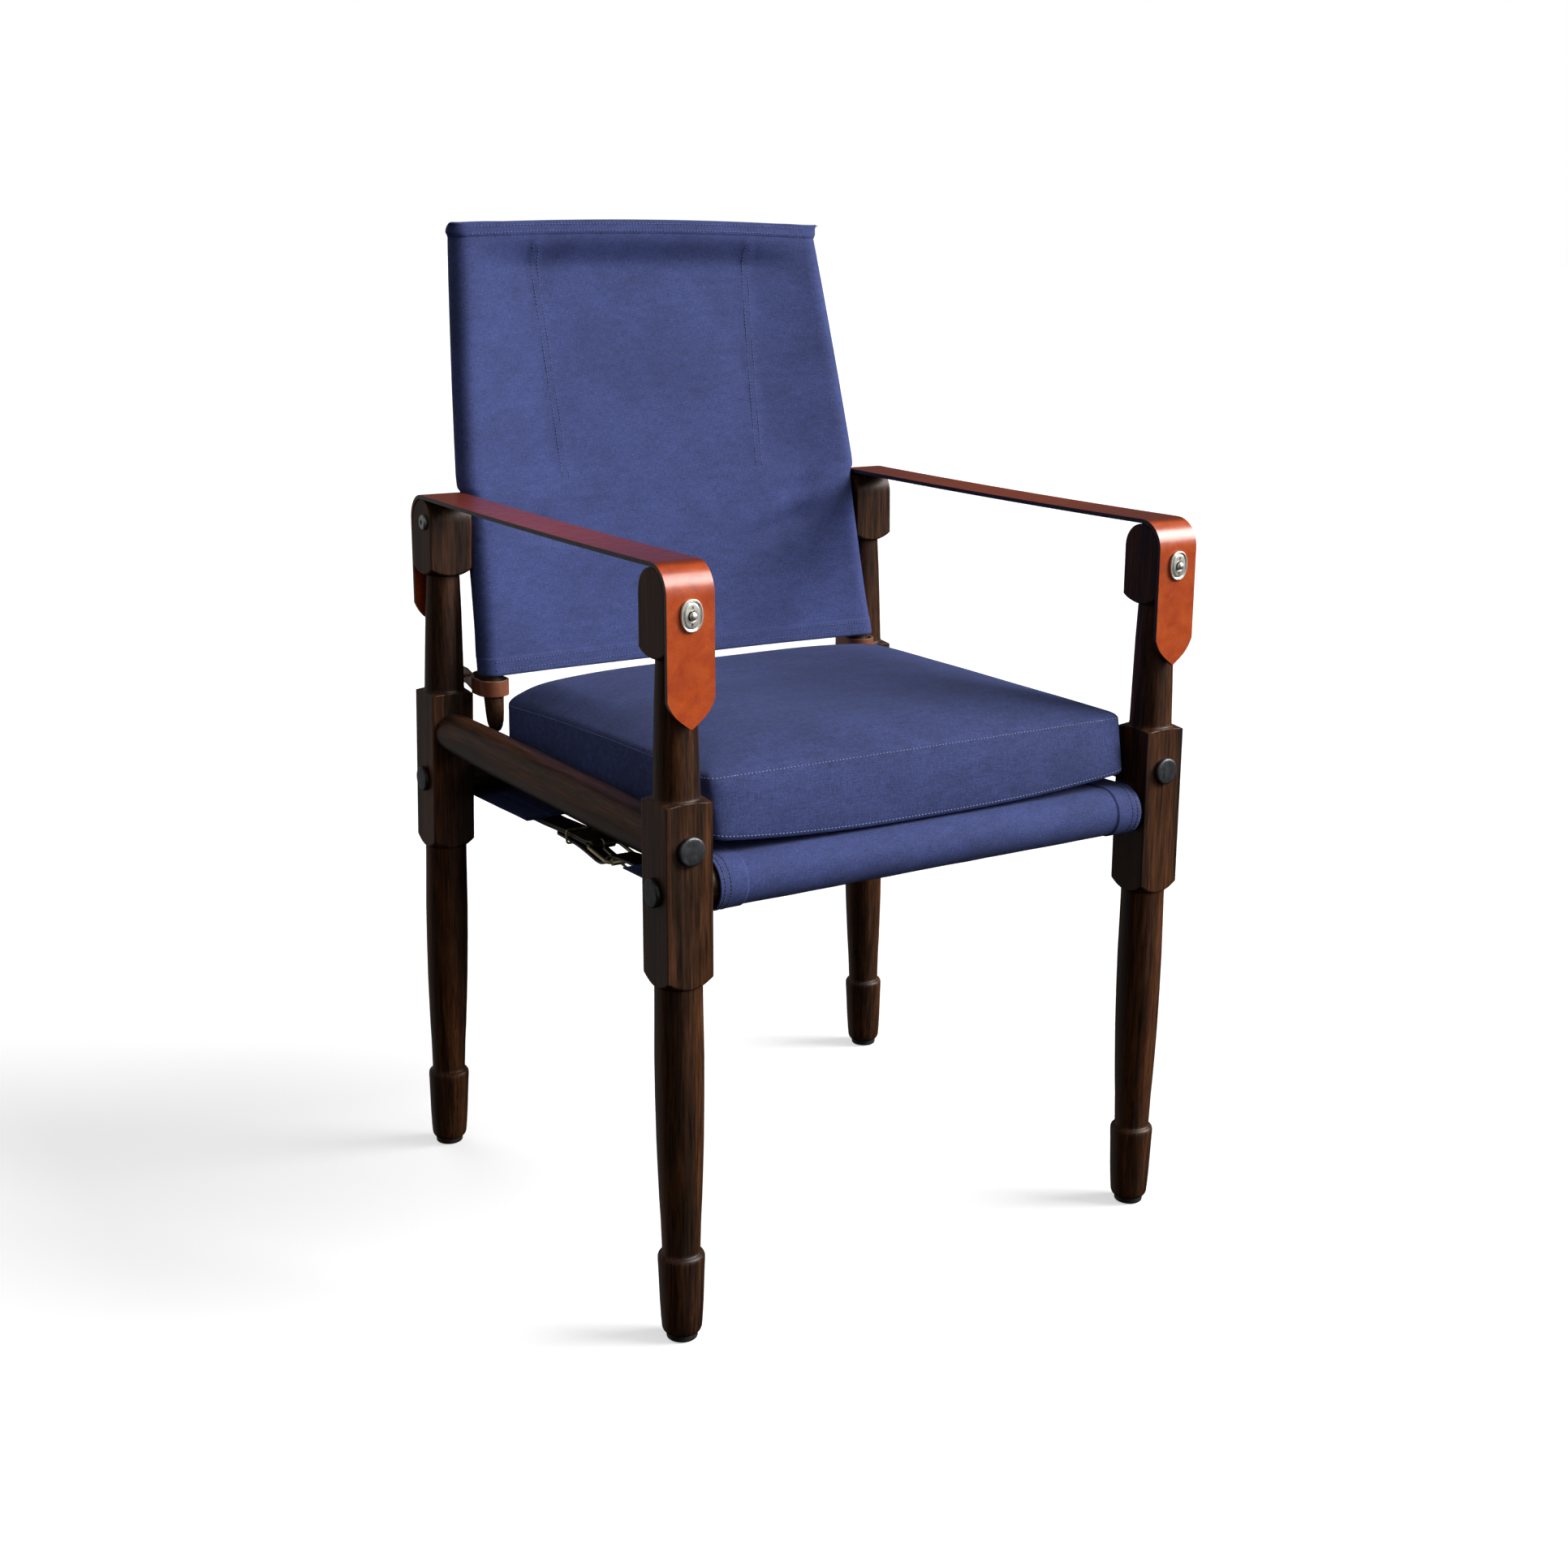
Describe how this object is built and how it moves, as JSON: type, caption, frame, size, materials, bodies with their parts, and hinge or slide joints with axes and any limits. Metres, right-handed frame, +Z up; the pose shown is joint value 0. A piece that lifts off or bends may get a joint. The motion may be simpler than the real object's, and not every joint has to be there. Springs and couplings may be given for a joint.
{
  "type": "campaign armchair",
  "caption": "Campaign dining armchair with turned walnut legs and rails, a tilting canvas back, canvas sling seat, loose cushion and leather strap arms.",
  "frame": {"origin": "floor level, at the centre of the bounding box's underside", "axes": "+Z up, the sitter faces -Y, +X is the right-hand side as seen from in front"},
  "size_m": [0.5788, 0.586, 0.9599],
  "materials": {
    "walnut": "dark oiled walnut, satin",
    "navy_canvas": "navy cotton duck, matte plain weave",
    "tan_leather": "chestnut bridle leather, polished face and dark burnished edges",
    "oxblood_leather": "dark oxblood bridle leather",
    "gunmetal": "brushed dark gunmetal",
    "zinc_steel": "zinc-plated steel",
    "nickel": "nickel plate",
    "brass": "pale polished brass",
    "nylon": "dark moulded glide"
  },
  "bodies": {
    "frame": {"leg_front_left": "walnut", "leg_front_right": "walnut", "leg_rear_left": "walnut", "leg_rear_right": "walnut", "glide_front_left": "nylon", "glide_front_right": "nylon", "glide_rear_left": "nylon", "glide_rear_right": "nylon", "side_rail_left": "walnut", "side_rail_right": "walnut", "seat_rail_front": "walnut", "seat_rail_rear": "walnut", "side_bolt_front_left": "gunmetal", "side_bolt_front_right": "gunmetal", "side_bolt_rear_left": "gunmetal", "side_bolt_rear_right": "gunmetal", "seat_bolt_front_left": "gunmetal", "seat_bolt_front_right": "gunmetal", "seat_bolt_rear_left": "gunmetal", "seat_bolt_rear_right": "gunmetal", "side_nut_front_left": "zinc_steel", "side_nut_front_right": "zinc_steel", "side_nut_rear_left": "zinc_steel", "side_nut_rear_right": "zinc_steel", "seat_nut_front_left": "zinc_steel", "seat_nut_front_right": "zinc_steel", "seat_nut_rear_left": "zinc_steel", "seat_nut_rear_right": "zinc_steel", "pivot_bolt_left": "zinc_steel", "pivot_bolt_right": "zinc_steel", "seat_sling": "navy_canvas", "arm_strap_left": "tan_leather", "arm_strap_right": "tan_leather", "stay_loop_left": "tan_leather", "stay_loop_right": "tan_leather", "strap_stud_front_left": "nickel", "strap_stud_front_right": "nickel", "strap_stud_rear_left": "nickel", "strap_stud_rear_right": "nickel", "strap_socket_front_left": "nickel", "strap_socket_front_right": "nickel", "strap_socket_rear_left": "nickel", "strap_socket_rear_right": "nickel", "cinch_chape_1": "oxblood_leather", "cinch_billet_1": "oxblood_leather", "cinch_buckle_1": "brass", "cinch_chape_2": "oxblood_leather", "cinch_billet_2": "oxblood_leather", "cinch_buckle_2": "brass", "cinch_chape_3": "oxblood_leather", "cinch_billet_3": "oxblood_leather", "cinch_buckle_3": "brass"},
    "back": {"back_post_left": "walnut", "back_post_right": "walnut", "back_canvas": "navy_canvas"},
    "cushion": {"seat_cushion": "navy_canvas"},
    "prong_1": {"cinch_prong_1": "brass"},
    "prong_2": {"cinch_prong_2": "brass"},
    "prong_3": {"cinch_prong_3": "brass"}
  },
  "joints": [
    {"name": "back_tilt", "type": "hinge", "parent": "frame", "child": "back", "pos_m": [0, 0.2161, 0.668], "axis": [1, 0, 0], "range_deg": [0, 6]},
    {"name": "cushion_lift", "type": "slide", "parent": "frame", "child": "cushion", "axis": [0, 0, 1], "range_m": [0, 0.2]},
    {"name": "prong_swing_1", "type": "hinge", "parent": "frame", "child": "prong_1", "pos_m": [-0.205, -0.0179, 0.38456], "axis": [1, 0, 0], "range_deg": [0, 3]},
    {"name": "prong_swing_2", "type": "hinge", "parent": "frame", "child": "prong_2", "pos_m": [0, -0.0179, 0.38456], "axis": [1, 0, 0], "range_deg": [0, 3]},
    {"name": "prong_swing_3", "type": "hinge", "parent": "frame", "child": "prong_3", "pos_m": [0.205, -0.0179, 0.38456], "axis": [1, 0, 0], "range_deg": [0, 3]}
  ]
}
